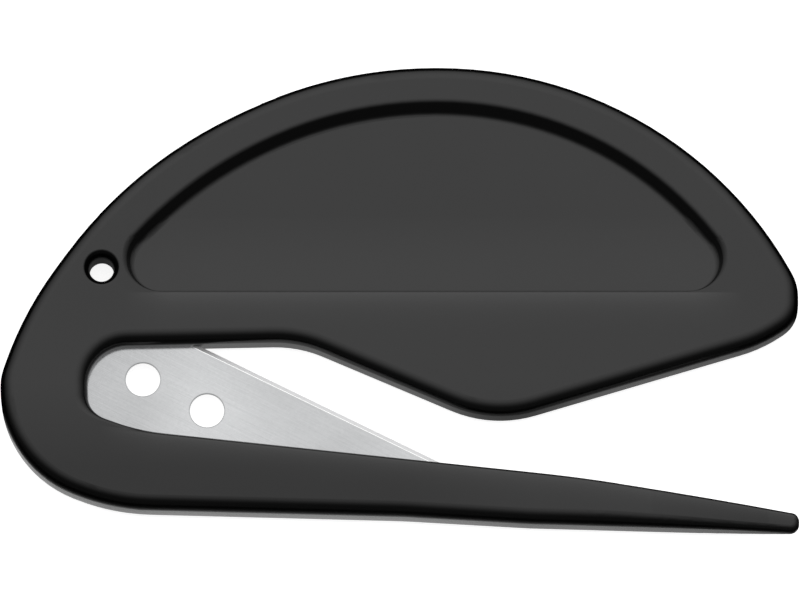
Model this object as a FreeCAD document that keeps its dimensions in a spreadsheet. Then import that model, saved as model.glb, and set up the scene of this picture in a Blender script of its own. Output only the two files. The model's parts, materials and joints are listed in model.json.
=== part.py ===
"""Hand letter opener: a flat moulded handle with a guide arm and a shielded steel blade.

Frame: the opener lies flat on its back on the plane z = 0.  X runs along its length, towards
the tip of the guide arm, Y from the arm up to the crown of the handle, Z through its thickness.
The origin is at the centre of the footprint.  Millimetres and degrees throughout.
"""
import FreeCAD, Part
import math
import os
import Sketcher
from FreeCAD import Placement, Rotation, Vector

XY, XZ, YZ = "XY_Plane", "XZ_Plane", "YZ_Plane"
# Smallest length or volume that counts as a difference.
TOUCH = 1e-4
# Upright share of a face's normal: below STANDING_SHARE for a side wall, above LEVEL_SHARE for
# a face that is nearly level, and above FLAT_SHARE for the flat faces alone.
STANDING_SHARE = 0.01
LEVEL_SHARE = 0.95
FLAT_SHARE = 0.99999
# Most of a run between two corners that their rounds may take up.
RUN_SHARE = 0.995
# Least round on the recess, and the most of its wall's slope that a round's radius may take.
MIN_ROUND = 0.05
ROUND_SHARE = 1.1

doc = FreeCAD.newDocument("letter_opener")

# --------------------------------------------------------------------------------- sizes
# Places in the outline are measured from its lower left corner.  Each corner of the outline is
# the point where its two neighbouring runs would meet, and its radius rounds it off.  An inset
# is measured back from the right end.
SIZES = [
    ("overall_length", 82.4), ("plan_height", 49.25), ("thickness", 4.7),
    ("edge_radius", 1.4), ("arm_edge_radius", 0.4), ("tip_edge_radius", 0.7),
    # guide arm, from its tip back to the window
    ("tip_low_radius", 0.95), ("tip_high_y", 1.95), ("tip_high_radius", 0.85),
    ("arm_bend_inset", 22.9), ("arm_bend_y", 5.55), ("arm_bend_radius", 164.0),
    ("sill_x", 14.3), ("sill_y", 10.45), ("sill_radius", 21.0),
    ("arm_taper_length", 22.0), ("tip_thickness", 1.6),
    # window that bares the blade, and the slot that leads to it
    ("window_x", 8.85), ("window_low_x", 9.1), ("window_low_y", 12.35), ("window_low_radius", 2.9),
    ("window_high_y", 19.6), ("window_high_radius", 4.2),
    ("slot_top_x", 30.8), ("slot_top_y", 20.05), ("slot_top_radius", 12.2),
    ("nose_x", 50.8), ("nose_y", 11.4), ("nose_radius", 12.75),
    # right end and dome of the handle
    ("chin_inset", 3.7), ("chin_y", 19.8), ("chin_radius", 15.1),
    ("right_low_y", 22.3), ("right_low_radius", 3.4),
    ("right_high_y", 26.2), ("right_high_radius", 5.2),
    ("dome_right_inset", 12.6), ("dome_right_radius", 41.4),
    ("dome_left_x", 34.5), ("dome_left_radius", 44.3),
    ("shoulder_x", 13.4), ("shoulder_y", 38.8), ("shoulder_radius", 46.2),
    # left end and sole
    ("side_x", 2.2), ("side_y", 23.0), ("side_radius", 38.0),
    ("bulge_high_y", 16.3), ("bulge_high_radius", 5.4),
    ("bulge_low_y", 7.05), ("bulge_low_radius", 12.1),
    ("heel_x", 11.5), ("heel_y", 2.35), ("heel_radius", 22.3),
    ("sole_back_x", 41.6), ("sole_back_y", 1.55), ("sole_back_radius", 60.0),
    ("sole_front_x", 54.5), ("sole_front_y", 0.8), ("sole_front_radius", 60.0),
    # recess in each face of the handle; a long ramp brings its floor up to its lower edge
    ("rim_width", 4.95), ("recess_depth", 1.08), ("recess_floor_y", 26.2),
    ("recess_wall_angle", 45.0), ("recess_round", 0.8), ("recess_toe_radius", 2.55),
    ("recess_left_x", 10.7), ("recess_right_inset", 6.0),
    ("recess_shoulder_x", 19.9), ("recess_shoulder_y", 36.4),
    ("recess_crown_left_x", 35.65), ("recess_crown_right_inset", 20.06),
    ("ramp_low_y", 25.2), ("ramp_step", 0.08), ("ramp_length", 8.0), ("ramp_overlap", 1.2),
    # hanging hole, flared towards both faces
    ("hole_x", 10.4), ("hole_y", 27.7), ("hole_diameter", 2.5), ("hole_mouth_diameter", 3.7),
    ("hole_mouth_depth", 1.35), ("hole_edge_round", 0.2),
    # blade: a strip with one ground edge, held in the moulding all round the window
    ("blade_thickness", 0.35), ("blade_embed", 2.2), ("blade_edge_x", 21.05),
    ("blade_edge_angle", 26.4), ("blade_end_height", 1.75), ("bevel_width", 0.38), ("edge_land", 0.06),
    ("pin_hole_diameter", 3.58), ("pin_hole_pitch", 7.4), ("pin_hole_x", 14.7),
    ("pin_hole_y", 16.3),
]

sheet = doc.addObject("Spreadsheet::Sheet", "Sizes")
for row, (alias, value) in enumerate(SIZES, start=1):
    sheet.set("A%d" % row, alias)
    sheet.set("B%d" % row, str(value))
    sheet.setAlias("B%d" % row, alias)
doc.recompute()


def size(alias):
    return float(sheet.get(alias))


def bind(target, prop, expression):
    """Tie one property or constraint to the sheet."""
    target.setExpression(prop, expression)


def cell(alias):
    """An alias as it stands in an expression."""
    return "Sizes." + alias


# ------------------------------------------------------------------------------- helpers
def origin_plane(body, role):
    return next(f for f in body.Origin.OriginFeatures if f.Role == role)


def new_body(name):
    body = doc.addObject("PartDesign::Body", name)
    body.Label = name
    return body


def new_sketch(body, name, role):
    sketch = body.newObject("Sketcher::SketchObject", name)
    sketch.AttachmentSupport = [(origin_plane(body, role), "")]
    sketch.MapMode = "FlatFace"
    return sketch


def total(terms):
    """Sum of sheet values; a term with a leading minus is taken away, and no term is zero."""
    return sum(-size(term[1:]) if term.startswith("-") else size(term) for term in terms)


def formula(terms):
    """The same sum as an expression on the sheet."""
    signed = ["-" + cell(term[1:]) if term.startswith("-") else cell(term) for term in terms]
    return " + ".join(signed) if signed else "0"


def add_bound(sketch, rules):
    """Add constraints in one go; those with an expression are then tied to the sheet."""
    offset = sketch.ConstraintCount
    sketch.addConstraint([rule for rule, _ in rules])
    for index, (_, expression) in enumerate(rules, start=offset):
        if expression:
            bind(sketch, "Constraints[%d]" % index, expression)


def point_rules(geometry, vertex, x_terms, y_terms):
    """Constraints that hold one vertex of a sketch at a place given by the sheet."""
    rules = []
    for kind, axis, terms in (("DistanceX", -2, x_terms), ("DistanceY", -1, y_terms)):
        if terms:
            rule = Sketcher.Constraint(kind, -1, 1, geometry, vertex, total(terms))
            rules.append((rule, formula(terms)))
        else:
            rules.append((Sketcher.Constraint("PointOnObject", geometry, vertex, axis), None))
    return rules


def corner_geometry(corners):
    """Tangent points and centre of the round at each corner of a closed run of lines.

    Where two rounds need more than the run between them, the one that takes more gives way.
    """
    places = [Vector(total(x), total(y), 0) for x, y, _ in corners]
    count = len(corners)
    turns, reaches = [], []
    for i in range(count):
        back = places[i - 1].sub(places[i])
        ahead = places[(i + 1) % count].sub(places[i])
        half = back.getAngle(ahead) / 2
        turns.append((back.normalize(), ahead.normalize(), half))
        reaches.append(total(corners[i][2]) / math.tan(half))
    shares = [1.0] * count
    for i in range(count):
        j = (i + 1) % count
        room = RUN_SHARE * places[i].distanceToPoint(places[j])
        for one, other in ((i, j), (j, i)):
            allowed = max(room - reaches[other], room / 2)
            shares[one] = min(shares[one], allowed / reaches[one])
    rounds = []
    for i in range(count):
        back, ahead, half = turns[i]
        reach = reaches[i] * shares[i]
        radius = total(corners[i][2]) * shares[i]
        middle = back.add(ahead).normalize()
        rounds.append((
            places[i].add(Vector(back).multiply(reach)),
            places[i].add(Vector(ahead).multiply(reach)),
            places[i].add(Vector(middle).multiply(radius / math.sin(half))),
            radius, shares[i],
        ))
    return places, rounds


def turns_left(places, i):
    """True where the outline turns left at its corner i."""
    before = places[i].sub(places[i - 1])
    after = places[(i + 1) % len(places)].sub(places[i])
    return before.cross(after).z > 0


def rounded_outline(sketch, corners):
    """Closed outline of straight runs joined by tangent arcs.

    A construction polygon through the corners carries it: every run lies on one of its sides.
    """
    places, rounds = corner_geometry(corners)
    count = len(corners)
    sides, lines, arcs = [], [], []
    for i in range(count):
        j = (i + 1) % count
        sides.append(Part.LineSegment(places[i], places[j]))
        lines.append(Part.LineSegment(rounds[i][1], rounds[j][0]))
        first, last, centre, radius, _ = rounds[i]
        begin, end = (first, last) if turns_left(places, i) else (last, first)
        angles = [math.atan2(point.y - centre.y, point.x - centre.x) for point in (begin, end)]
        if angles[1] < angles[0]:
            angles[1] += 2 * math.pi
        arcs.append(Part.ArcOfCircle(Part.Circle(centre, Vector(0, 0, 1), radius), *angles))
    sides = sketch.addGeometry(sides, True)
    lines = sketch.addGeometry(lines, False)
    arcs = sketch.addGeometry(arcs, False)
    rules = []
    for i in range(count):
        rules.append((Sketcher.Constraint("Coincident", sides[i - 1], 2, sides[i], 1), None))
        rules += point_rules(sides[i], 1, corners[i][0], corners[i][1])
        rules.append((Sketcher.Constraint("PointOnObject", lines[i], 1, sides[i]), None))
        rules.append((Sketcher.Constraint("PointOnObject", lines[i], 2, sides[i]), None))
    for i in range(count):
        radius, share = rounds[i][3:]
        first_end, last_end = (1, 2) if turns_left(places, i) else (2, 1)
        rules.append((Sketcher.Constraint("Tangent", lines[i - 1], 2, arcs[i], first_end), None))
        rules.append((Sketcher.Constraint("Tangent", arcs[i], last_end, lines[i], 1), None))
        scale = "" if share == 1.0 else " * %.6f" % share
        rules.append((
            Sketcher.Constraint("Radius", arcs[i], radius),
            "(%s)%s" % (formula(corners[i][2]), scale),
        ))
    add_bound(sketch, rules)


def symmetric_pad(body, sketch, name, thickness):
    pad = body.newObject("PartDesign::Pad", name)
    pad.Profile = sketch
    pad.SideType = "Symmetric"
    bind(pad, "Length", thickness)
    return pad


def through_pocket(body, sketch, name):
    pocket = body.newObject("PartDesign::Pocket", name)
    pocket.Profile = sketch
    pocket.SideType = "Symmetric"
    pocket.Type = "ThroughAll"
    return pocket


def must_shrink(body, step):
    """Recompute and stop if the last feature took nothing away."""
    before = step["volume"]
    doc.recompute()
    step["volume"] = body.Shape.Volume
    if step["volume"] > before - TOUCH:
        raise RuntimeError("the last cut in %s removed nothing" % body.Label)


def lay_down(target):
    """Bring the outline's corner coordinates to the footprint's centre and the back face to 0."""
    bind(target, ".Placement.Base.x", "-Sizes.overall_length / 2")
    bind(target, ".Placement.Base.y", "-Sizes.plan_height / 2")
    bind(target, ".Placement.Base.z", "Sizes.thickness / 2")


# ---------------------------------------------------------------------- handle, as a blank
HANDLE_OUTLINE = [
    (("overall_length",), (), ("tip_low_radius",)),
    (("overall_length",), ("tip_high_y",), ("tip_high_radius",)),
    (("overall_length", "-arm_bend_inset"), ("arm_bend_y",), ("arm_bend_radius",)),
    (("sill_x",), ("sill_y",), ("sill_radius",)),
    (("window_low_x",), ("window_low_y",), ("window_low_radius",)),
    (("window_x",), ("window_high_y",), ("window_high_radius",)),
    (("slot_top_x",), ("slot_top_y",), ("slot_top_radius",)),
    (("nose_x",), ("nose_y",), ("nose_radius",)),
    (("overall_length", "-chin_inset"), ("chin_y",), ("chin_radius",)),
    (("overall_length",), ("right_low_y",), ("right_low_radius",)),
    (("overall_length",), ("right_high_y",), ("right_high_radius",)),
    (("overall_length", "-dome_right_inset"), ("plan_height",), ("dome_right_radius",)),
    (("dome_left_x",), ("plan_height",), ("dome_left_radius",)),
    (("shoulder_x",), ("shoulder_y",), ("shoulder_radius",)),
    (("side_x",), ("side_y",), ("side_radius",)),
    ((), ("bulge_high_y",), ("bulge_high_radius",)),
    ((), ("bulge_low_y",), ("bulge_low_radius",)),
    (("heel_x",), ("heel_y",), ("heel_radius",)),
    (("sole_back_x",), ("sole_back_y",), ("sole_back_radius",)),
    (("sole_front_x",), ("sole_front_y",), ("sole_front_radius",)),
]

# The lower edge of the recess floor is this sketch's X axis, so heights are taken from it.
RECESS_OUTLINE = [
    (("recess_left_x",), (), ("recess_toe_radius",)),
    (("overall_length", "-recess_right_inset"), (), ("recess_toe_radius",)),
    (("overall_length", "-recess_crown_right_inset"), ("plan_height", "-rim_width", "-recess_floor_y"),
     ("dome_right_radius", "-rim_width")),
    (("recess_crown_left_x",), ("plan_height", "-rim_width", "-recess_floor_y"),
     ("dome_left_radius", "-rim_width")),
    (("recess_shoulder_x",), ("recess_shoulder_y", "-recess_floor_y"),
     ("shoulder_radius", "-rim_width")),
]

blank = new_body("handle_blank")
outline = new_sketch(blank, "handle_outline", XY)
rounded_outline(outline, HANDLE_OUTLINE)
symmetric_pad(blank, outline, "handle_pad", "Sizes.thickness")
doc.recompute()
step = {"volume": blank.Shape.Volume}

# Both faces of the arm curve in towards its tip.
taper = new_sketch(blank, "arm_taper", XZ)
face_z = size("thickness") / 2
tip_drop = (size("thickness") - size("tip_thickness")) / 2
taper_radius = (size("arm_taper_length") ** 2 + tip_drop ** 2) / (2 * tip_drop)
start = Vector(size("overall_length") - size("arm_taper_length"), face_z, 0)
clear_x = size("overall_length") + size("thickness")
middle = Vector(start.x, face_z - taper_radius, 0)
sweep = math.asin((clear_x - start.x) / taper_radius)
end = middle.add(Vector(math.sin(sweep), math.cos(sweep), 0).multiply(taper_radius))
taper_circle = Part.Circle(middle, Vector(0, 0, 1), taper_radius)
arc = Part.ArcOfCircle(taper_circle, math.pi / 2 - sweep, math.pi / 2)
curve = taper.addGeometry(arc)
side = taper.addGeometry(Part.LineSegment(end, Vector(end.x, face_z, 0)))
top = taper.addGeometry(Part.LineSegment(Vector(end.x, face_z, 0), start))
add_bound(taper, [
    (Sketcher.Constraint("Coincident", curve, 1, side, 1), None),
    (Sketcher.Constraint("Coincident", side, 2, top, 1), None),
    (Sketcher.Constraint("Tangent", top, 2, curve, 2), None),
    (Sketcher.Constraint("Horizontal", top), None),
    (Sketcher.Constraint("Vertical", side), None),
    (Sketcher.Constraint("DistanceX", -1, 1, curve, 2, start.x),
     "Sizes.overall_length - Sizes.arm_taper_length"),
    (Sketcher.Constraint("DistanceY", -1, 1, curve, 2, face_z), "Sizes.thickness / 2"),
    (Sketcher.Constraint("DistanceX", -1, 1, side, 1, clear_x),
     "Sizes.overall_length + Sizes.thickness"),
    (Sketcher.Constraint("Radius", curve, taper_radius),
     "Sizes.arm_taper_length ^ 2 / (Sizes.thickness - Sizes.tip_thickness)"
     " + (Sizes.thickness - Sizes.tip_thickness) / 4"),
])
arm_cut = blank.newObject("PartDesign::Pocket", "arm_taper_cut")
arm_cut.Profile = taper
bind(arm_cut, "Length", "Sizes.nose_y")
must_shrink(blank, step)

# The recess has a flat floor and walls that lean outwards.
recess = new_sketch(blank, "recess_outline", XY)
recess.AttachmentOffset = Placement(
    Vector(0, size("recess_floor_y"), face_z - size("recess_depth")), Rotation()
)
bind(recess, ".AttachmentOffset.Base.y", "Sizes.recess_floor_y")
bind(recess, ".AttachmentOffset.Base.z", "Sizes.thickness / 2 - Sizes.recess_depth")
rounded_outline(recess, RECESS_OUTLINE)
recess_cut = blank.newObject("PartDesign::Pocket", "recess_cut")
recess_cut.Profile = recess
recess_cut.Reversed = True
bind(recess_cut, "Length", "Sizes.thickness / 2")
bind(recess_cut, "TaperAngle", "Sizes.recess_wall_angle")
must_shrink(blank, step)

# The ramp rises in one arc from the floor to just under the face, and is filled back in.
ramp = new_sketch(blank, "ramp_section", YZ)
floor_z = face_z - size("recess_depth")
rise = size("recess_depth") - size("ramp_step")
run = size("ramp_length")
ramp_radius = (run ** 2 + rise ** 2) / (2 * rise)
foot = Vector(size("ramp_low_y") + run, floor_z, 0)
head = Vector(size("ramp_low_y"), floor_z + rise, 0)
over = Vector(head.x - size("ramp_overlap"), head.y, 0)
under = Vector(over.x, floor_z, 0)
middle = Vector(foot.x, floor_z + ramp_radius, 0)
head_angle = math.atan2(head.y - middle.y, head.x - middle.x) + 2 * math.pi
arc = Part.ArcOfCircle(
    Part.Circle(middle, Vector(0, 0, 1), ramp_radius), head_angle, 3 * math.pi / 2
)
curve = ramp.addGeometry(arc)
runs = ramp.addGeometry([
    Part.LineSegment(head, over), Part.LineSegment(over, under), Part.LineSegment(under, foot),
], False)
add_bound(ramp, [
    (Sketcher.Constraint("Coincident", curve, 1, runs[0], 1), None),
    (Sketcher.Constraint("Coincident", runs[0], 2, runs[1], 1), None),
    (Sketcher.Constraint("Coincident", runs[1], 2, runs[2], 1), None),
    (Sketcher.Constraint("Tangent", runs[2], 2, curve, 2), None),
    (Sketcher.Constraint("Horizontal", runs[0]), None),
    (Sketcher.Constraint("Vertical", runs[1]), None),
    (Sketcher.Constraint("Horizontal", runs[2]), None),
    (Sketcher.Constraint("DistanceX", -1, 1, runs[0], 1, head.x), "Sizes.ramp_low_y"),
    (Sketcher.Constraint("DistanceY", -1, 1, runs[0], 1, head.y),
     "Sizes.thickness / 2 - Sizes.ramp_step"),
    (Sketcher.Constraint("DistanceX", runs[0], 2, runs[0], 1, head.x - over.x),
     "Sizes.ramp_overlap"),
    (Sketcher.Constraint("DistanceY", -1, 1, runs[2], 2, floor_z),
     "Sizes.thickness / 2 - Sizes.recess_depth"),
    (Sketcher.Constraint("DistanceX", runs[0], 1, runs[2], 2, run), "Sizes.ramp_length"),
])
ramp.AttachmentOffset = Placement(Vector(0, 0, size("recess_left_x")), Rotation())
bind(ramp, ".AttachmentOffset.Base.z", "Sizes.recess_left_x")
ramp_fill = blank.newObject("PartDesign::Pad", "ramp_fill")
ramp_fill.Profile = ramp
bind(ramp_fill, "Length",
     "Sizes.overall_length - Sizes.recess_right_inset - Sizes.recess_left_x")
doc.recompute()
if blank.Shape.Volume <= step["volume"]:
    raise RuntimeError("ramp_fill: the ramp adds nothing to the recess floor")
step["volume"] = blank.Shape.Volume

both_faces = blank.newObject("PartDesign::Mirrored", "both_faces")
both_faces.Originals = [arm_cut, recess_cut, ramp_fill]
both_faces.MirrorPlane = (origin_plane(blank, XY), [""])
blank.Tip = both_faces
must_shrink(blank, step)

# Half of the hole's lengthwise section, turned about the hole's own axis.
hole = new_sketch(blank, "hanging_hole", XZ)
hole.AttachmentOffset = Placement(Vector(size("hole_x"), 0, -size("hole_y")), Rotation())
bind(hole, ".AttachmentOffset.Base.x", "Sizes.hole_x")
bind(hole, ".AttachmentOffset.Base.z", "-Sizes.hole_y")
throat = size("hole_diameter") / 2
mouth = size("hole_mouth_diameter") / 2
flare_depth = size("hole_mouth_depth")
throat_z = face_z - flare_depth
flare_radius = ((mouth - throat) ** 2 + flare_depth ** 2) / (2 * (mouth - throat))
flare_angle = math.asin(flare_depth / flare_radius)
axis, low_face, wall, high_face = hole.addGeometry([
    Part.LineSegment(Vector(0, face_z, 0), Vector(0, -face_z, 0)),
    Part.LineSegment(Vector(0, -face_z, 0), Vector(mouth, -face_z, 0)),
    Part.LineSegment(Vector(throat, -throat_z, 0), Vector(throat, throat_z, 0)),
    Part.LineSegment(Vector(mouth, face_z, 0), Vector(0, face_z, 0)),
], False)
low_flare, high_flare = hole.addGeometry([
    Part.ArcOfCircle(
        Part.Circle(Vector(throat + flare_radius, -throat_z, 0), Vector(0, 0, 1), flare_radius),
        math.pi, math.pi + flare_angle,
    ),
    Part.ArcOfCircle(
        Part.Circle(Vector(throat + flare_radius, throat_z, 0), Vector(0, 0, 1), flare_radius),
        math.pi - flare_angle, math.pi,
    ),
], False)
add_bound(hole, [
    (Sketcher.Constraint("Coincident", axis, 2, low_face, 1), None),
    (Sketcher.Constraint("Coincident", low_face, 2, low_flare, 2), None),
    (Sketcher.Constraint("Tangent", low_flare, 1, wall, 1), None),
    (Sketcher.Constraint("Tangent", wall, 2, high_flare, 2), None),
    (Sketcher.Constraint("Coincident", high_flare, 1, high_face, 1), None),
    (Sketcher.Constraint("Coincident", high_face, 2, axis, 1), None),
    (Sketcher.Constraint("Vertical", axis), None),
    (Sketcher.Constraint("Horizontal", low_face), None),
    (Sketcher.Constraint("Horizontal", high_face), None),
    (Sketcher.Constraint("PointOnObject", axis, 1, -2), None),
    (Sketcher.Constraint("Symmetric", wall, 1, wall, 2, -1), None),
    (Sketcher.Constraint("Symmetric", low_face, 2, high_face, 1, -1), None),
    (Sketcher.Constraint("DistanceX", -1, 1, wall, 2, throat), "Sizes.hole_diameter / 2"),
    (Sketcher.Constraint("DistanceX", -1, 1, high_face, 1, mouth), "Sizes.hole_mouth_diameter / 2"),
    (Sketcher.Constraint("DistanceY", -1, 1, high_face, 1, face_z), "Sizes.thickness / 2"),
    (Sketcher.Constraint("DistanceY", wall, 2, high_face, 1, flare_depth), "Sizes.hole_mouth_depth"),
])
hole_cut = blank.newObject("PartDesign::Groove", "hanging_hole_cut")
hole_cut.Profile = hole
hole_cut.ReferenceAxis = (hole, ["V_Axis"])
hole_cut.Angle = 360
lay_down(blank)
must_shrink(blank, step)

# ------------------------------------------------------------------- handle, edges rounded
def outline_place(point):
    """A point of the laid down shape in the outline's own coordinates."""
    return Vector(point.x + size("overall_length") / 2, point.y + size("plan_height") / 2, 0)


def lean(face):
    """Upright share of a face's normal: 1 for a level face, 0 for a standing one."""
    u_low, u_high, v_low, v_high = face.ParameterRange
    return abs(face.normalAt((u_low + u_high) / 2, (v_low + v_high) / 2).z)


def rim_knots():
    """Round of the outer edge at the ends of the outline's runs; it changes evenly between."""
    rim, arm, tip = size("edge_radius"), size("arm_edge_radius"), size("tip_edge_radius")
    changes = {0: (tip, tip), 1: (tip, arm), 2: (arm, arm), 3: (arm, arm), 4: (arm, rim)}
    taper_x = size("overall_length") - size("arm_taper_length")
    knots = [(Vector(taper_x, 0, 0), rim), (Vector(taper_x, size("arm_bend_y"), 0), arm)]
    for i, (first, last, _, _, _) in enumerate(corner_geometry(HANDLE_OUTLINE)[1]):
        before, after = changes.get(i, (rim, rim))
        knots += [(first, before), (last, after)]
    return knots


def rim_round(place, knots):
    return min(knots, key=lambda knot: knot[0].distanceToPoint(place))[1]


def recess_round(place):
    """Round of the recess edges: along the ramp the wall is too low for the full one."""
    ahead = min(size("ramp_length"), max(0.0, size("ramp_low_y") + size("ramp_length") - place.y))
    depth = size("recess_depth") - ramp_radius + math.sqrt(ramp_radius ** 2 - ahead ** 2)
    slope = depth / math.cos(math.radians(size("recess_wall_angle")))
    return max(MIN_ROUND, min(size("recess_round"), ROUND_SHARE * slope))


def edges_between(shape, low, high):
    """Numbers of the edges of a shape whose two faces lean within the two given ranges."""
    found = []
    for number, edge in enumerate(shape.Edges, start=1):
        leans = sorted(lean(face) for face in shape.ancestorsOfType(edge, Part.Face))
        if low[0] <= leans[0] <= low[1] and high[0] <= leans[-1] <= high[1]:
            found.append(number)
    return found


def chained(shape, numbers):
    """The same edges as (number, start, end), each chain in the order and sense it runs."""
    left = list(numbers)
    ends = {n: [v.Point for v in (shape.Edges[n - 1].firstVertex(), shape.Edges[n - 1].lastVertex())]
            for n in left}
    links = []
    while left:
        number = left.pop(0)
        start, end = ends[number]
        while number:
            links.append((number, outline_place(start), outline_place(end)))
            near = [n for n in left if min(p.distanceToPoint(end) for p in ends[n]) < TOUCH]
            number = near[0] if near else None
            if number:
                left.remove(number)
                first, last = ends[number]
                start, end = (first, last) if first.distanceToPoint(end) < TOUCH else (last, first)
    return links


def outer_rounds(shape):
    """The handle's rim, the hole's edges and the lips of the recess, as (number, start, end)."""
    knots = rim_knots()
    rim = edges_between(shape, (0, STANDING_SHARE), (LEVEL_SHARE, 1))
    rounds = [
        (number, rim_round(start, knots), rim_round(end, knots))
        for number, start, end in chained(shape, rim)
    ]
    face = size("thickness") / 2
    hole_centre = Vector(size("hole_x"), size("hole_y"), 0)
    lips = [
        number for number in edges_between(shape, (STANDING_SHARE, LEVEL_SHARE), (FLAT_SHARE, 1))
        if abs(abs(shape.Edges[number - 1].CenterOfMass.z - face) - face) < TOUCH
    ]
    for number, start, end in chained(shape, lips):
        if start.distanceToPoint(hole_centre) < size("hole_mouth_diameter"):
            rounds.append((number, size("hole_edge_round"), size("hole_edge_round")))
        else:
            rounds.append((number, recess_round(start), recess_round(end)))
    return rounds


def floor_rounds(shape):
    """The foot of the recess walls, on the floor and along the ramp, as (number, start, end)."""
    inside = [
        number for number in edges_between(shape, (STANDING_SHARE, LEVEL_SHARE), (LEVEL_SHARE, 1))
        if TOUCH < shape.Edges[number - 1].CenterOfMass.z < size("thickness") - TOUCH
        and outline_place(shape.Edges[number - 1].CenterOfMass).y > size("ramp_low_y")
    ]
    return [
        (number, recess_round(start), recess_round(end))
        for number, start, end in chained(shape, inside)
    ]


rimmed = doc.addObject("Part::Fillet", "handle_rimmed")
rimmed.Base = blank
rimmed.Edges = outer_rounds(blank.Shape)
doc.recompute()
rounded = doc.addObject("Part::Fillet", "handle_rounded")
rounded.Base = rimmed
rounded.Edges = floor_rounds(rimmed.Shape)
doc.recompute()

# ------------------------------------------------------------------------------- blade
blade = new_body("blade")
strip = new_sketch(blade, "blade_outline", XY)
slope = math.tan(math.radians(size("blade_edge_angle")))
embed = size("blade_embed")


def on_edge_line(x):
    """The point of the cutting edge's line at one x."""
    return Vector(x, size("window_high_y") - slope * (x - size("blade_edge_x")), 0)


def edge_line_x(y):
    """Where the cutting edge's line reaches one y."""
    return size("blade_edge_x") + (size("window_high_y") - y) / slope


back_x = size("window_x") - embed
top_y = size("slot_top_y") + embed
low_y = size("arm_bend_y") - embed
tail_x = edge_line_x(low_y + size("blade_end_height"))
corners = [
    Vector(back_x, size("sill_y") - embed, 0),
    Vector(tail_x, low_y, 0),
    on_edge_line(tail_x),
    on_edge_line(edge_line_x(top_y)),
    Vector(back_x, top_y, 0),
]
runs = strip.addGeometry([
    Part.LineSegment(corner, corners[(i + 1) % len(corners)]) for i, corner in enumerate(corners)
], False)
through = strip.addGeometry(Part.Point(on_edge_line(size("blade_edge_x"))), True)
add_bound(strip, [
    (Sketcher.Constraint("Coincident", runs[i], 2, runs[(i + 1) % len(runs)], 1), None)
    for i in range(len(runs))
] + point_rules(runs[0], 1, ("window_x", "-blade_embed"), ("sill_y", "-blade_embed"))
    + point_rules(through, 1, ("blade_edge_x",), ("window_high_y",)) + [
    (Sketcher.Constraint("Vertical", runs[1]), None),
    (Sketcher.Constraint("DistanceY", -1, 1, runs[1], 1, low_y),
     "Sizes.arm_bend_y - Sizes.blade_embed"),
    (Sketcher.Constraint("DistanceY", runs[1], 1, runs[1], 2, size("blade_end_height")),
     "Sizes.blade_end_height"),
    (Sketcher.Constraint("PointOnObject", through, 1, runs[2]), None),
    (Sketcher.Constraint("Angle", runs[2], math.radians(180 - size("blade_edge_angle"))),
     "180 - Sizes.blade_edge_angle"),
    (Sketcher.Constraint("Horizontal", runs[3]), None),
    (Sketcher.Constraint("DistanceY", -1, 1, runs[3], 2, top_y),
     "Sizes.slot_top_y + Sizes.blade_embed"),
    (Sketcher.Constraint("Vertical", runs[4]), None),
])
symmetric_pad(blade, strip, "blade_pad", "Sizes.blade_thickness")
doc.recompute()
step = {"volume": blade.Shape.Volume}

pins = new_sketch(blade, "pin_holes", XY)
pin_radius = size("pin_hole_diameter") / 2
first_pin = Vector(size("pin_hole_x"), size("pin_hole_y"), 0)
along = Vector(1, -slope, 0).normalize().multiply(size("pin_hole_pitch"))
circles = pins.addGeometry([
    Part.Circle(first_pin, Vector(0, 0, 1), pin_radius),
    Part.Circle(first_pin.add(along), Vector(0, 0, 1), pin_radius),
], False)
spine = pins.addGeometry(Part.LineSegment(first_pin, first_pin.add(along)), True)
add_bound(pins, point_rules(circles[0], 3, ("pin_hole_x",), ("pin_hole_y",)) + [
    (Sketcher.Constraint("Coincident", spine, 1, circles[0], 3), None),
    (Sketcher.Constraint("Coincident", spine, 2, circles[1], 3), None),
    (Sketcher.Constraint("Distance", spine, size("pin_hole_pitch")), "Sizes.pin_hole_pitch"),
    (Sketcher.Constraint("Angle", spine, -math.radians(size("blade_edge_angle"))),
     "-Sizes.blade_edge_angle"),
    (Sketcher.Constraint("Equal", circles[0], circles[1]), None),
    (Sketcher.Constraint("Diameter", circles[0], 2 * pin_radius), "Sizes.pin_hole_diameter"),
])
through_pocket(blade, pins, "pin_holes_cut")
must_shrink(blade, step)

# The ground edge: both faces slope down to a narrow land along the cutting edge.
edge_direction = Vector(1, -slope, 0).normalize()
bevel_lean = size("bevel_width") / math.hypot(
    size("bevel_width"), (size("blade_thickness") - size("edge_land")) / 2
)


def along_cutting_edge(edge, z):
    """True for the straight edge of the strip over the cutting edge's line, at one height."""
    middle = edge.CenterOfMass
    on_line = middle.distanceToLine(on_edge_line(0).add(Vector(0, 0, z)), edge_direction) < TOUCH
    return on_line and edge.Length > size("pin_hole_pitch")


half_blade = size("blade_thickness") / 2
for count, (name, z) in enumerate((("front_bevel", half_blade), ("back_bevel", -half_blade)), start=1):
    numbered = enumerate(blade.Shape.Edges, start=1)
    number = next(number for number, edge in numbered if along_cutting_edge(edge, z))
    bevel = blade.newObject("PartDesign::Chamfer", name)
    bevel.Base = (bevel.BaseFeature, ["Edge%d" % number])
    bevel.ChamferType = "Two distances"
    bind(bevel, "Size", "Sizes.bevel_width")
    bind(bevel, "Size2", "(Sizes.blade_thickness - Sizes.edge_land) / 2")
    doc.recompute()
    ground = [face for face in blade.Shape.Faces if abs(lean(face) - bevel_lean) < STANDING_SHARE]
    if "Invalid" in bevel.State or len(ground) < count:
        bevel.FlipDirection = True
    must_shrink(blade, step)
lay_down(blade)

# The moulding is formed round the blade, face to face with it.
handle = doc.addObject("Part::Cut", "handle")
handle.Label = "handle"
handle.Base = rounded
handle.Tool = blade
doc.recompute()

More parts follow.
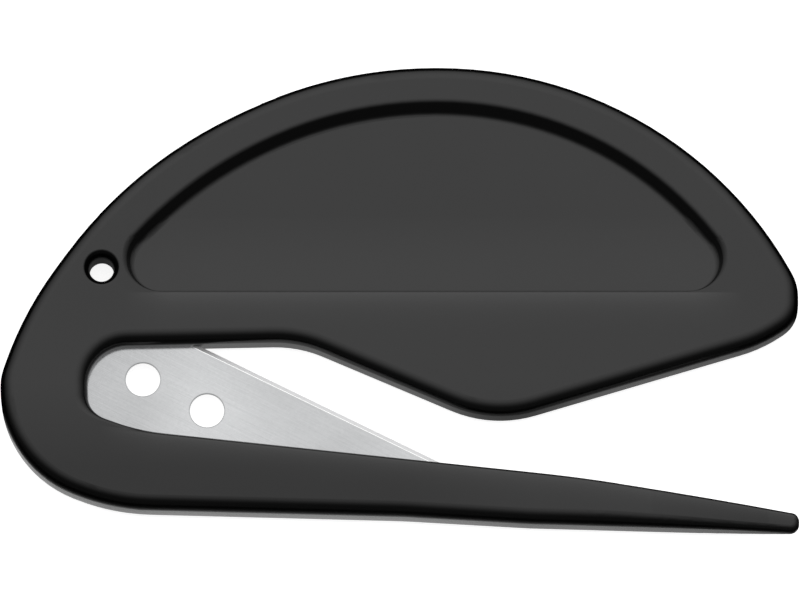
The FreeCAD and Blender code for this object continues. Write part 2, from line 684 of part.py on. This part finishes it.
# -------------------------------------------------------------------- checks and files
for item in doc.Objects:
    if "Invalid" in item.State or "Error" in item.State:
        raise RuntimeError("%s could not be built" % item.Label)
os.makedirs("parts", exist_ok=True)
for node in (handle, blade):
    if node.Shape.isNull() or not node.Shape.isValid() or len(node.Shape.Solids) != 1:
        raise RuntimeError("%s isn't one sound solid" % node.Label)
    node.Shape.exportStep("parts/%s.step" % node.Label)
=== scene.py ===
"""Looks of a flat hand letter opener: a moulded black handle and the steel blade set in it."""

import json
import math

import bmesh
import bpy
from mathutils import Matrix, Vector

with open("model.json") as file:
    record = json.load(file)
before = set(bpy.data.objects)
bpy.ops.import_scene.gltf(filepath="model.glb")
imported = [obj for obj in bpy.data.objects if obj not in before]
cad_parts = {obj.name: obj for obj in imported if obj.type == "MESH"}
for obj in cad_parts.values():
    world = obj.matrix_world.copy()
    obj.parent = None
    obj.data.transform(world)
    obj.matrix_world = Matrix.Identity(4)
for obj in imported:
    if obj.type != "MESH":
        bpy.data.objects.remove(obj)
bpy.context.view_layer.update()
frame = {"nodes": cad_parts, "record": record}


# ---- Handle
# One piece of ABS plastic, dyed black through, moulded round the blade.  The steel of the mould
# was vapour blasted: a tight satin that mirrors softly, with a fine grain under a raking light.
def linear(hex_code):
    """An sRGB hex colour as linear red, green, blue and alpha."""
    parts = [int(hex_code[i:i + 2], 16) / 255 for i in (0, 2, 4)]
    return [p / 12.92 if p <= 0.04045 else ((p + 0.055) / 1.055) ** 2.4 for p in parts] + [1.0]


def add(tree, kind, settings=(), links=()):
    """Add a node, set its properties or inputs by name, and link inputs from other sockets."""
    node = tree.nodes.new(kind)
    for name, value in dict(settings).items():
        if isinstance(name, str) and hasattr(node, name):
            setattr(node, name, value)
        else:
            node.inputs[name].default_value = value
    for name, socket in dict(links).items():
        tree.links.new(socket, node.inputs[name])
    return node


def blank_material(name):
    """A new material and its empty node tree."""
    material = bpy.data.materials.new(name)
    material.use_nodes = True
    material.node_tree.nodes.clear()
    return material, material.node_tree


abs_plastic, tree = blank_material("black ABS, vapour blasted mould")
place = add(tree, "ShaderNodeTexCoord").outputs["Object"]
spot = add(tree, "ShaderNodeSeparateXYZ", links={"Vector": place})
# Grain of the blasted mould, 0.12 mm from peak to peak: a little coarser than the real one, so
# that it shows.
grain_size = 0.00012
grain = add(tree, "ShaderNodeTexNoise",
            {"Scale": 1 / grain_size, "Detail": 2.0, "Roughness": 0.5}, {"Vector": place})
# Slow change of the satin where the melt cooled faster or slower, over about 12 mm.
cooling_size = 0.012
cooling = add(tree, "ShaderNodeTexNoise",
              {"Scale": 1 / cooling_size, "Detail": 2.0, "Roughness": 0.4}, {"Vector": place})
satin = add(tree, "ShaderNodeMapRange",
            {"From Min": 0.3, "From Max": 0.7, "To Min": 0.21, "To Max": 0.25},
            {"Value": cooling.outputs[0]})
relief = add(tree, "ShaderNodeBump",
             {"Strength": 0.04, "Distance": 0.00002}, {"Height": grain.outputs[0]})
# The faces aren't dead flat.  Below the step of the recess, and below the arm's upper edge, they
# roll over by 8 to 10 degrees within about 1 mm.  Depths are in millimetres, and each fade is the
# share of the roll that is left after one.
step_y, step_left_x, step_right_x, step_end = 0.000400, -0.0285, 0.0355, 0.005
step_fade_per_mm, edge_fade_per_mm, turn_fade_per_mm = 0.42, 0.37, 0.002
below_step = add(tree, "ShaderNodeMapRange",
                 {"From Min": step_y, "From Max": step_y - 0.004, "To Min": 0.0, "To Max": 4.0},
                 {"Value": spot.outputs["Y"]})
step_fade = add(tree, "ShaderNodeMath", {"operation": "POWER", 0: step_fade_per_mm},
                {1: below_step.outputs[0]})
step_left = add(tree, "ShaderNodeMapRange",
                {"From Min": step_left_x, "From Max": step_left_x + step_end},
                {"Value": spot.outputs["X"]})
step_right = add(tree, "ShaderNodeMapRange",
                 {"From Min": step_right_x - step_end, "From Max": step_right_x,
                  "To Min": 1.0, "To Max": 0.0},
                 {"Value": spot.outputs["X"]})
step_run = add(tree, "ShaderNodeMath", {"operation": "MULTIPLY"},
               {0: step_left.outputs[0], 1: step_right.outputs[0]})
step_roll = add(tree, "ShaderNodeMath", {"operation": "MULTIPLY"},
                {0: step_fade.outputs[0], 1: step_run.outputs[0]})
# The arm's upper edge is two straight runs, from the sill of the window to the tip.
sill = Vector((-0.0269, -0.014175, 0))
bend = Vector((0.0183, -0.019075, 0))
tip = Vector((0.0412, -0.022675, 0))
depths = []
for start, end in ((sill, bend), (bend, tip)):
    down = Vector((end.y - start.y, start.x - end.x, 0)).normalized()
    offset = add(tree, "ShaderNodeVectorMath", {"operation": "SUBTRACT", 1: start}, {0: place})
    depths.append(add(tree, "ShaderNodeVectorMath", {"operation": "DOT_PRODUCT", 1: down},
                      {0: offset.outputs["Vector"]}))
below_edge = add(tree, "ShaderNodeMath", {"operation": "MINIMUM"},
                 {0: depths[0].outputs["Value"], 1: depths[1].outputs["Value"]})
edge_depth = add(tree, "ShaderNodeMapRange",
                 {"From Min": 0.0, "From Max": 0.005, "To Min": 0.0, "To Max": 5.0},
                 {"Value": below_edge.outputs[0]})
edge_fade = add(tree, "ShaderNodeMath", {"operation": "POWER", 0: edge_fade_per_mm},
                {1: edge_depth.outputs[0]})
# The last 0.2 mm turns down more sharply.
turn_share = 0.4
edge_turn = add(tree, "ShaderNodeMath", {"operation": "POWER", 0: turn_fade_per_mm},
                {1: edge_depth.outputs[0]})
edge_shape = add(tree, "ShaderNodeMath", {"operation": "MULTIPLY_ADD", 1: turn_share},
                 {0: edge_turn.outputs[0], 2: edge_fade.outputs[0]})
# The edge's roll starts at the left of the window.
arm_run = add(tree, "ShaderNodeMapRange", {"From Min": -0.0310, "From Max": -0.0250},
              {"Value": spot.outputs["X"]})
edge_roll = add(tree, "ShaderNodeMath", {"operation": "MULTIPLY"},
                {0: edge_shape.outputs[0], 1: arm_run.outputs[0]})
# The edge rolls over a little more than the step does.
edge_share = 1.15
rolls = add(tree, "ShaderNodeMath", {"operation": "MULTIPLY_ADD", 1: edge_share},
            {0: edge_roll.outputs[0], 2: step_roll.outputs[0]})
# From the heel down the faces sink, in a curve and then at a steady 8 degrees, by half of that
# past the middle of the arm, and by a little more than all of it at its tip.
heel_top, heel_bend, heel_low = -0.009, -0.018, -0.027
arm_share, tip_extra = 0.5, 0.7
heel_down = add(tree, "ShaderNodeMapRange", {"From Min": heel_top, "From Max": heel_bend},
                {"Value": spot.outputs["Y"]})
heel_curve = add(tree, "ShaderNodeMath", {"operation": "POWER", 1: 2.0}, {0: heel_down.outputs[0]})
heel_steady = add(tree, "ShaderNodeMapRange",
                  {"From Min": heel_bend, "From Max": heel_low, "To Min": 0.0, "To Max": 2.0},
                  {"Value": spot.outputs["Y"]})
sinking = add(tree, "ShaderNodeMath", {"operation": "ADD"},
              {0: heel_curve.outputs[0], 1: heel_steady.outputs[0]})
past_middle = add(tree, "ShaderNodeMapRange",
                  {"From Min": 0.000, "From Max": 0.014, "To Min": 1.0, "To Max": arm_share},
                  {"Value": spot.outputs["X"]})
at_tip = add(tree, "ShaderNodeMapRange",
             {"From Min": 0.026, "From Max": 0.038, "To Min": 0.0, "To Max": tip_extra},
             {"Value": spot.outputs["X"]})
along_arm = add(tree, "ShaderNodeMath", {"operation": "ADD"},
                {0: past_middle.outputs[0], 1: at_tip.outputs[0]})
arm_sinking = add(tree, "ShaderNodeMath", {"operation": "MULTIPLY"},
                  {0: sinking.outputs[0], 1: along_arm.outputs[0]})
roll_height, sink_height = 0.00016, 0.00062
sunk = add(tree, "ShaderNodeMath", {"operation": "MULTIPLY", 1: -sink_height},
           {0: arm_sinking.outputs[0]})
height = add(tree, "ShaderNodeMath", {"operation": "MULTIPLY_ADD", 1: -roll_height},
             {0: rolls.outputs[0], 2: sunk.outputs[0]})
rolled = add(tree, "ShaderNodeBump", {"Strength": 1.0, "Distance": 1.0},
             {"Height": height.outputs[0], "Normal": relief.outputs[0]})
# Painted highlight: the plastic is made paler where it rolls over, and nowhere above that: the pale
# starts at the step, and 0.25 mm in from the arm's upper edge.
highlight_parts = []
for roll, depth, start_mm in ((step_roll, below_step, 0.0), (edge_roll, edge_depth, 0.25)):
    past = add(tree, "ShaderNodeMath", {"operation": "GREATER_THAN", 1: start_mm},
               {0: depth.outputs[0]})
    highlight_parts.append(add(tree, "ShaderNodeMath", {"operation": "MULTIPLY"},
                    {0: roll.outputs[0], 1: past.outputs[0]}))
painted_highlight = add(tree, "ShaderNodeMath", {"operation": "MAXIMUM"},
           {0: highlight_parts[0].outputs[0], 1: highlight_parts[1].outputs[0]})
# Black plastic, with the painted highlight mixed in where the faces roll over.
black = add(tree, "ShaderNodeMix",
            {"data_type": "RGBA", 6: linear("040404"), 7: linear("303030")}, {0: painted_highlight.outputs[0]})
shader = add(tree, "ShaderNodeBsdfPrincipled", {"IOR": 1.5},
             {"Base Color": black.outputs[2], "Roughness": satin.outputs[0],
              "Normal": rolled.outputs[0]})
add(tree, "ShaderNodeOutputMaterial", links={"Surface": shader.outputs[0]})

handle = frame["nodes"]["handle"]
handle.data.materials.clear()
handle.data.materials.append(abs_plastic)

# ---- Blade
# A strip of stainless steel 0.35 mm thick, rolled and then brushed along its cutting edge.  The
# edge itself is ground, which leaves a brighter band 0.38 mm wide on each face.
edge_angle = math.radians(26.4)
edge_point = Vector((-0.02015, -0.005025, 0))
band_width, band_blur = 0.00038, 0.00002
# Place and reach of the painted highlight line, measured in from the cutting edge.
highlight_place, highlight_reach = 0.00040, 0.00005

stainless, tree = blank_material("stainless strip, brushed")
place = add(tree, "ShaderNodeTexCoord").outputs["Object"]
turned = add(tree, "ShaderNodeMapping",
             {"vector_type": "TEXTURE", "Location": edge_point, "Rotation": (0, 0, -edge_angle)},
             {"Vector": place})
# Scratches of the brushing: 4 mm long and 0.1 mm apart, coarser than real ones so that they show.
scratch_length, scratch_gap = 0.004, 0.0001
stretched = add(tree, "ShaderNodeMapping",
                {"Scale": (1 / scratch_length, 1 / scratch_gap, 1 / scratch_gap)},
                {"Vector": turned.outputs[0]})
scratches = add(tree, "ShaderNodeTexNoise", {"Scale": 1.0, "Detail": 3.0, "Roughness": 0.6},
                {"Vector": stretched.outputs[0]})
tone = add(tree, "ShaderNodeMapRange", {"From Min": 0.25, "From Max": 0.75},
           {"Value": scratches.outputs[0]})
# Mottling of the rolled skin under the brushing, 0.3 mm from spot to spot.
mottle_size = 0.0003
mottle = add(tree, "ShaderNodeTexNoise", {"Scale": 1 / mottle_size, "Detail": 3.0, "Roughness": 0.7},
             {"Vector": turned.outputs[0]})
mixed = add(tree, "ShaderNodeMix", {"data_type": "FLOAT", 0: 0.5},
            {2: tone.outputs[0], 3: mottle.outputs[0]})
steel_tones = add(tree, "ShaderNodeMix",
                  {"data_type": "RGBA", 6: linear("ADAEAF"), 7: linear("CBCCCD")},
                  {0: mixed.outputs[0]})
# Slow waves in the rolled strip, over about 9 mm.
wave_size = 0.009
waves = add(tree, "ShaderNodeTexNoise", {"Scale": 1 / wave_size, "Detail": 1.0},
            {"Vector": turned.outputs[0]})
wave_tone = add(tree, "ShaderNodeMapRange", {"From Min": 0.3, "From Max": 0.7},
                {"Value": waves.outputs[0]})
wave_shade = add(tree, "ShaderNodeMix",
                 {"data_type": "RGBA", 6: linear("EFEFEF"), 7: linear("FFFFFF")},
                 {0: wave_tone.outputs[0]})
waved = add(tree, "ShaderNodeMix", {"data_type": "RGBA", "blend_type": "MULTIPLY", 0: 1.0},
            {6: steel_tones.outputs[2], 7: wave_shade.outputs[2]})
# Painted shading of a slight bow in the strip: the colour is made brightest 20 mm left of the
# middle, and dimmest 11.5 mm to either side of that.
bow_place, bow_reach = -0.020, 0.0115
along_strip = add(tree, "ShaderNodeSeparateXYZ", links={"Vector": place}).outputs["X"]
bow_phase = add(tree, "ShaderNodeMath",
                {"operation": "MULTIPLY_ADD", 1: math.pi / bow_reach,
                 2: -bow_place * math.pi / bow_reach}, {0: along_strip})
bow = add(tree, "ShaderNodeMath", {"operation": "COSINE"}, {0: bow_phase.outputs[0]})
painted_bow_shading = add(tree, "ShaderNodeMapRange",
               {"From Min": -1.0, "From Max": 1.0, "To Min": 0.88, "To Max": 1.02},
               {"Value": bow.outputs[0]})
bow_shaded_colour = add(tree, "ShaderNodeVectorMath", {"operation": "SCALE"},
            {0: waved.outputs[2], "Scale": painted_bow_shading.outputs[0]})
# Painted shade on the rolled-over rims of the two punched holes: a darker ring that fades out over
# 0.12 mm.
hole_radius, hole_pitch, ring_width = 0.00179, 0.0074, 0.00012
first_hole = Vector((-0.0265, -0.008325, 0))
second_hole = first_hole + hole_pitch * Vector((math.cos(edge_angle), -math.sin(edge_angle), 0))
level_place = add(tree, "ShaderNodeVectorMath", {"operation": "MULTIPLY", 1: (1, 1, 0)}, {0: place})
spans = [
    add(tree, "ShaderNodeVectorMath", {"operation": "DISTANCE", 1: centre},
        {0: level_place.outputs["Vector"]})
    for centre in (first_hole, second_hole)
]
nearest = add(tree, "ShaderNodeMath", {"operation": "MINIMUM"},
              {0: spans[0].outputs["Value"], 1: spans[1].outputs["Value"]})
painted_ring_shade = add(tree, "ShaderNodeMapRange",
           {"From Min": hole_radius, "From Max": hole_radius + ring_width,
            "To Min": 1.0, "To Max": 0.0},
           {"Value": nearest.outputs[0]})
ring_shaded_colour = add(tree, "ShaderNodeMix", {"data_type": "RGBA", 7: linear("8C8D8E")},
             {0: painted_ring_shade.outputs[0], 6: bow_shaded_colour.outputs["Vector"]})
# The ground band, and a painted highlight: a fine bright line along the crease where the band meets
# the flat.
# Places across the strip run down from nought at the cutting edge.
across = add(tree, "ShaderNodeSeparateXYZ", links={"Vector": turned.outputs[0]}).outputs["Y"]
ground = add(tree, "ShaderNodeMapRange",
             {"From Min": -band_width - band_blur, "From Max": -band_width + band_blur},
             {"Value": across})
crease_highlight = add(tree, "ShaderNodeMath", {"operation": "COMPARE", 1: -highlight_place, 2: highlight_reach},
           {0: across})
banded = add(tree, "ShaderNodeMix", {"data_type": "RGBA", 7: linear("F6F6F7")},
             {0: ground.outputs[0], 6: ring_shaded_colour.outputs[2]})
colour = add(tree, "ShaderNodeMix", {"data_type": "RGBA", 7: linear("F0F0F0")},
             {0: crease_highlight.outputs[0], 6: banded.outputs[2]})
brushed = add(tree, "ShaderNodeMapRange",
              {"From Min": 0.25, "From Max": 0.75, "To Min": 0.14, "To Max": 0.22},
              {"Value": scratches.outputs[0]})
rough = add(tree, "ShaderNodeMix", {"data_type": "FLOAT", 3: 0.6},
            {0: ground.outputs[0], 2: brushed.outputs[0]})
# Grinding leaves the band so finely torn that it scatters light almost like a matt surface.
metal = add(tree, "ShaderNodeMapRange", {"To Min": 1.0, "To Max": 0.55},
            {"Value": ground.outputs[0]})
relief = add(tree, "ShaderNodeBump",
             {"Strength": 0.1, "Distance": 0.00001}, {"Height": scratches.outputs[0]})
shader = add(tree, "ShaderNodeBsdfPrincipled",
             links={"Base Color": colour.outputs[2], "Metallic": metal.outputs[0],
                    "Roughness": rough.outputs[0], "Normal": relief.outputs[0]})
add(tree, "ShaderNodeOutputMaterial", links={"Surface": shader.outputs[0]})

blade = frame["nodes"]["blade"]
blade.data.materials.clear()
blade.data.materials.append(stainless)

# ---- Table
# A white laminate table top, plain to the camera.  What the handle mirrors of it is a painted
# reflection that
# only mirror rays see: the far half is painted black, as if under a black card, which keeps the
# upper walls dark, and the near half glows white, from no lamp, which lightens the lower walls in
# reflection.
table_reach = 6.0
mesh = bmesh.new()
bmesh.ops.create_grid(mesh, x_segments=1, y_segments=1, size=table_reach)
table_mesh = bpy.data.meshes.new("table")
mesh.to_mesh(table_mesh)
mesh.free()
table_top = bpy.data.objects.new("table", table_mesh)
bpy.context.collection.objects.link(table_top)

laminate, tree = blank_material("white laminate")
path = add(tree, "ShaderNodeLightPath")
place = add(tree, "ShaderNodeTexCoord").outputs["Object"]
spot = add(tree, "ShaderNodeSeparateXYZ", links={"Vector": place})
# The painted black ends 2.5 mm below the middle, and left of the handle's side it reaches down to
# the heel.
past_dome = add(tree, "ShaderNodeMapRange",
                {"From Min": -0.0035, "From Max": -0.0015, "To Min": 1.0, "To Max": 0.0},
                {"Value": spot.outputs["Y"]})
past_heel = add(tree, "ShaderNodeMapRange",
                {"From Min": -0.0155, "From Max": -0.0115, "To Min": 1.0, "To Max": 0.0},
                {"Value": spot.outputs["Y"]})
right_of_side = add(tree, "ShaderNodeMapRange", {"From Min": -0.0400, "From Max": -0.0380},
                    {"Value": spot.outputs["X"]})
uncovered = add(tree, "ShaderNodeMath", {"operation": "MAXIMUM"},
                {0: past_heel.outputs[0], 1: right_of_side.outputs[0]})
glow_share = add(tree, "ShaderNodeMath", {"operation": "MULTIPLY"},
             {0: past_dome.outputs[0], 1: uncovered.outputs[0]})
matt = add(tree, "ShaderNodeBsdfDiffuse", {"Color": linear("E8E8E8")})
lit = add(tree, "ShaderNodeEmission", {"Strength": 0.85})
seen = add(tree, "ShaderNodeAddShader", links={0: matt.outputs[0], 1: lit.outputs[0]})
# Painted glow: a faint white glow, from no lamp, under the hanging hole, which lightens its walls in
# reflection.
mounts = {mount["name"]: mount for mount in frame["record"]["mounts"]}
hole_x, hole_y = mounts["hanging_hole"]["pos_m"][:2]
from_hole = add(tree, "ShaderNodeVectorMath", {"operation": "DISTANCE", 1: (hole_x, hole_y, 0)},
                {0: place})
hole_glow = add(tree, "ShaderNodeMapRange",
                 {"From Min": 0.0025, "From Max": 0.0030, "To Min": 0.08, "To Max": 0.0},
                 {"Value": from_hole.outputs["Value"]})
painted_black = add(tree, "ShaderNodeEmission", links={"Strength": hole_glow.outputs[0]})
# The painted white glow is strongest at the foot of a wall.  It halves along the sole, is less
# than half as strong in the slot as at the heel, and is weakest under the nose.
nose = (0.012, -0.0145, 0)
closed_in = add(tree, "ShaderNodeAmbientOcclusion", {"samples": 8, "Distance": 0.02})
at_foot = add(tree, "ShaderNodeMapRange", {"From Min": 1.0, "From Max": 0.5},
              {"Value": closed_in.outputs["AO"]})
foot_fade = add(tree, "ShaderNodeMath", {"operation": "POWER", 1: 1.7}, {0: at_foot.outputs[0]})
along_sole = add(tree, "ShaderNodeMapRange",
                 {"From Min": 0.0, "From Max": 0.040, "To Min": 1.15, "To Max": 0.6},
                 {"Value": spot.outputs["X"]})
past_sill = add(tree, "ShaderNodeMapRange",
                {"From Min": -0.032, "From Max": -0.028, "To Min": 1.15, "To Max": 0.47},
                {"Value": spot.outputs["X"]})
in_slot = add(tree, "ShaderNodeMapRange", {"From Min": -0.0225, "From Max": -0.0205},
              {"Value": spot.outputs["Y"], "To Min": along_sole.outputs[0],
               "To Max": past_sill.outputs[0]})
from_nose = add(tree, "ShaderNodeVectorMath", {"operation": "DISTANCE", 1: nose}, {0: place})
nose_shade = add(tree, "ShaderNodeMapRange",
                 {"interpolation_type": "SMOOTHSTEP", "From Min": 0.001, "From Max": 0.013,
                  "To Min": 0.45, "To Max": 1.0}, {"Value": from_nose.outputs["Value"]})
shade = add(tree, "ShaderNodeMath", {"operation": "MULTIPLY"},
            {0: in_slot.outputs[0], 1: nose_shade.outputs[0]})
strength = add(tree, "ShaderNodeMath", {"operation": "MULTIPLY"},
               {0: foot_fade.outputs[0], 1: shade.outputs[0]})
# Painted glow, seen only by mirror rays: white light from a table that is no lamp.
white = add(tree, "ShaderNodeEmission", links={"Strength": strength.outputs[0]})
# Painted reflection: black over the far half, the white glow over the near half.
painted_reflection = add(tree, "ShaderNodeMixShader",
               links={0: glow_share.outputs[0], 1: painted_black.outputs[0], 2: white.outputs[0]})
unseen = add(tree, "ShaderNodeMixShader",
             links={0: path.outputs["Is Glossy Ray"], 1: matt.outputs[0], 2: painted_reflection.outputs[0]})
surface = add(tree, "ShaderNodeMixShader",
              links={0: path.outputs["Is Camera Ray"], 1: unseen.outputs[0], 2: seen.outputs[0]})
add(tree, "ShaderNodeOutputMaterial", links={"Surface": surface.outputs[0]})
table_top.data.materials.append(laminate)

# ---- Light
# One very large soft light overhead, leaning back: brightest 33 degrees behind the zenith, and
# fading to the dim room a quarter turn from there.  The backdrop itself is white.
lean = math.radians(33)
fall_off, brightest, room_light = 1.8, 1.72, 0.08
world = bpy.data.worlds.new("studio")
world.use_nodes = True
tree = world.node_tree
tree.nodes.clear()
path = add(tree, "ShaderNodeLightPath")
direction = add(tree, "ShaderNodeTexCoord").outputs["Generated"]
toward = add(tree, "ShaderNodeVectorMath",
             {"operation": "DOT_PRODUCT", 1: (0, math.sin(lean), math.cos(lean))}, {0: direction})
lobe = add(tree, "ShaderNodeMath", {"operation": "MAXIMUM", 1: 0.0}, {0: toward.outputs["Value"]})
fade = add(tree, "ShaderNodeMath", {"operation": "POWER", 1: fall_off}, {0: lobe.outputs[0]})
level = add(tree, "ShaderNodeMath", {"operation": "MULTIPLY_ADD", 1: brightest, 2: room_light},
            {0: fade.outputs[0]})
light = add(tree, "ShaderNodeBackground", links={"Strength": level.outputs[0]})
backdrop = add(tree, "ShaderNodeBackground", {"Strength": 1.0})
sky = add(tree, "ShaderNodeMixShader",
          links={0: path.outputs["Is Camera Ray"], 1: light.outputs[0], 2: backdrop.outputs[0]})
add(tree, "ShaderNodeOutputWorld", links={"Surface": sky.outputs[0]})
bpy.context.scene.world = world

# ---- Camera
# Far off with a long lens, so that lines that are parallel stay so, and 13.5 degrees off the
# vertical towards the guide arm.  The view is 0.32 mm wider than the opener.
tilt = math.radians(13.5)
target = Vector((0.00005, 0.000155, 0.00235))
view_width = 0.08272
camera_data = bpy.data.cameras.new("camera")
camera_data.lens = 800
camera_data.sensor_width = 36
distance = view_width * camera_data.lens / camera_data.sensor_width
camera = bpy.data.objects.new("camera", camera_data)
camera.location = target + distance * Vector((0, -math.sin(tilt), math.cos(tilt)))
camera.rotation_euler = (tilt, 0, 0)
camera_data.clip_end = 20
bpy.context.collection.objects.link(camera)
bpy.context.scene.camera = camera
bpy.context.scene.view_settings.view_transform = "Standard"
